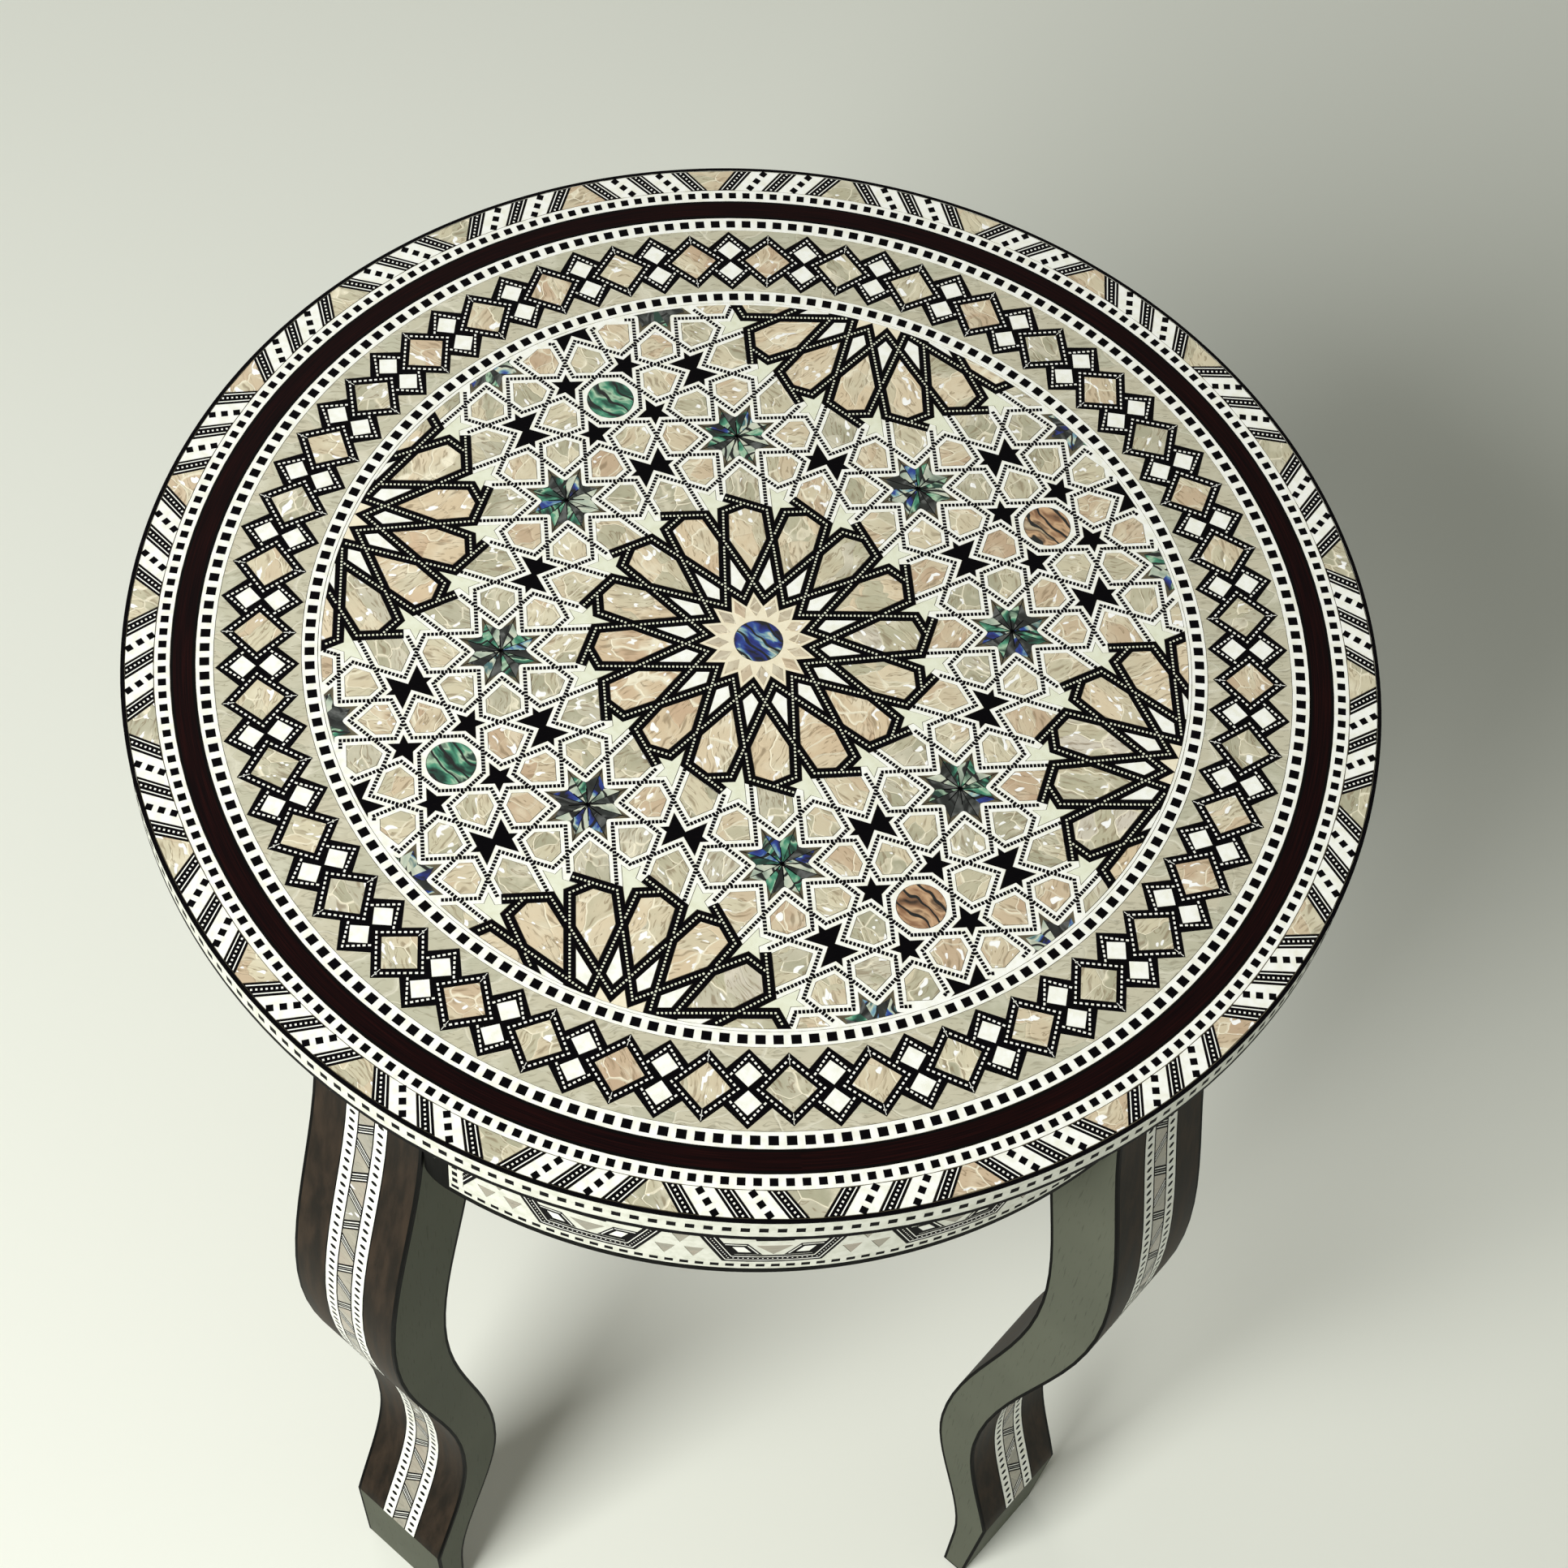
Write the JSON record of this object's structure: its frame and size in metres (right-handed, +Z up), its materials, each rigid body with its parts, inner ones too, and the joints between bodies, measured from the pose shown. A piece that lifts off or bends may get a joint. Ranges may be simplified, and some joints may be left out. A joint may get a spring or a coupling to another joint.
{
  "type": "side table",
  "caption": "Round side table with a star-pattern inlay of pearl, bone and ebony on its top, a curved inlaid apron and sawn S-curved legs.",
  "frame": {"origin": "on the floor, under the centre of the round top", "axes": "+Z up; the legs stand on the diagonals between +X, +Y, -X and -Y; -Y is the front"},
  "size_m": [0.3999, 0.4, 0.52],
  "materials": {
    "plain_wood": "bare planed beech",
    "bone": null,
    "pearl": "polished mother-of-pearl under lacquer",
    "ebony": "black stained wood under lacquer",
    "abalone": "polished abalone shell under lacquer",
    "dark_wood": "dark red-brown wood under gloss lacquer",
    "leg_wood": "dark grey-brown stained wood, satin lacquer",
    "steel": "zinc plated"
  },
  "bodies": {
    "root": {"top_board": "plain_wood", "edge_band": "bone", "border_pearls": "pearl", "border_dark_strips": "ebony", "border_bone_strips": "bone", "outer_dotted_ring": "bone", "dark_wood_ring": "dark_wood", "middle_dotted_ring": "bone", "middle_ring_squares": "ebony", "chain_ground": "pearl", "chain_frames": "ebony", "chain_pearls": "pearl", "chain_bone_squares": "bone", "inner_dotted_ring": "bone", "inner_ring_squares": "ebony", "bone_lattice": "bone", "pearl_tiles": "pearl", "rosette_petals": "pearl", "rosette_strips": "ebony", "rosette_kites": "bone", "rosette_hearts": "bone", "bone_stars": "bone", "ebony_stars": "ebony", "abalone_stars": "abalone", "abalone_discs": "abalone", "front_left_leg": "leg_wood", "front_right_leg": "leg_wood", "rear_right_leg": "leg_wood", "rear_left_leg": "leg_wood", "front_left_leg_inlay": "bone", "front_right_leg_inlay": "bone", "rear_right_leg_inlay": "bone", "rear_left_leg_inlay": "bone", "leg_pearls": "pearl", "leg_bars": "ebony", "front_apron": "leg_wood", "right_apron": "leg_wood", "rear_apron": "leg_wood", "left_apron": "leg_wood", "front_apron_inlay": "bone", "right_apron_inlay": "bone", "rear_apron_inlay": "bone", "left_apron_inlay": "bone", "apron_frames": "ebony", "apron_triangles": "pearl", "front_left_block": "plain_wood", "front_right_block": "plain_wood", "rear_right_block": "plain_wood", "rear_left_block": "plain_wood", "leg_bolts": "steel", "block_screws": "steel"}
  },
  "joints": []
}
